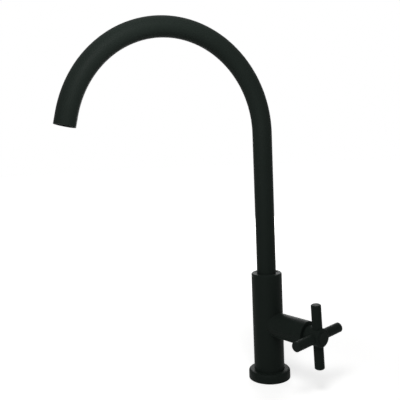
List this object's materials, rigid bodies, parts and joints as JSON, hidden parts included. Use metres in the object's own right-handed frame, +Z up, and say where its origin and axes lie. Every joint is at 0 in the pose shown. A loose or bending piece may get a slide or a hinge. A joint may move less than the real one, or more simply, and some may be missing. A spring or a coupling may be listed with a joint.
{
  "type": "kitchen pillar tap",
  "caption": "Deck-mounted satin black kitchen pillar tap: round pillar on a base flange, swan-neck swivel spout with an aerator, and a cross handle on a quarter-turn valve branch.",
  "frame": {"origin": "centre of the base flange's underside, on the deck that the tap stands on", "axes": "+Z up the pillar, -X along the spout at rest, -Y on the side of the valve branch, which is turned 11 degrees towards +X"},
  "size_m": [0.2613, 0.0993, 0.429],
  "materials": {
    "coated_body": "satin black coating on metal",
    "coated_spout": "satin black coating on a bent tube",
    "coated_handle": "satin black coating on turned metal",
    "brass": "turned, unplated",
    "steel": "plain turned stainless steel",
    "rubber": "moulded black rubber",
    "ceramic": "lapped white alumina",
    "bearing_plastic": "black moulded acetal",
    "aerator_plastic": "grey moulded acetal"
  },
  "bodies": {
    "tap_body": {"pillar_body": "coated_body", "base_flange": "coated_body", "base_gasket": "rubber", "inlet_shank": "brass", "deck_washer": "rubber", "clamp_washer": "steel", "back_nut": "brass", "swivel_bush": "bearing_plastic", "thrust_washer": "bearing_plastic", "spout_grub_screw": "steel", "headwork_bush": "brass", "headwork_gasket": "bearing_plastic", "lip_seal": "rubber", "fixed_disc": "ceramic", "bonnet_sleeve": "coated_body"},
    "spout": {"spout_tube": "coated_spout", "spout_tail": "brass", "spout_rings": "rubber", "mouth_ring": "brass", "aerator_housing": "aerator_plastic", "aerator_grid": "aerator_plastic", "aerator_screen": "aerator_plastic", "aerator_seal": "rubber"},
    "handle": {"moving_disc": "ceramic", "spindle": "brass", "spindle_rings": "rubber", "spindle_clip": "steel", "handle_hub": "coated_handle", "handle_arm_1": "coated_handle", "handle_arm_2": "coated_handle", "handle_arm_3": "coated_handle", "handle_arm_4": "coated_handle", "handle_screw": "steel", "index_cap": "coated_handle"}
  },
  "joints": [
    {"name": "spout_swivel", "type": "hinge", "parent": "tap_body", "child": "spout", "pos_m": [0, 0, 0], "axis": [0, 0, 1], "continuous": true},
    {"name": "handle_turn", "type": "hinge", "parent": "tap_body", "child": "handle", "pos_m": [0, 0, 0.06], "axis": [0.1908, -0.9816, 0], "range_deg": [0, 90]}
  ]
}
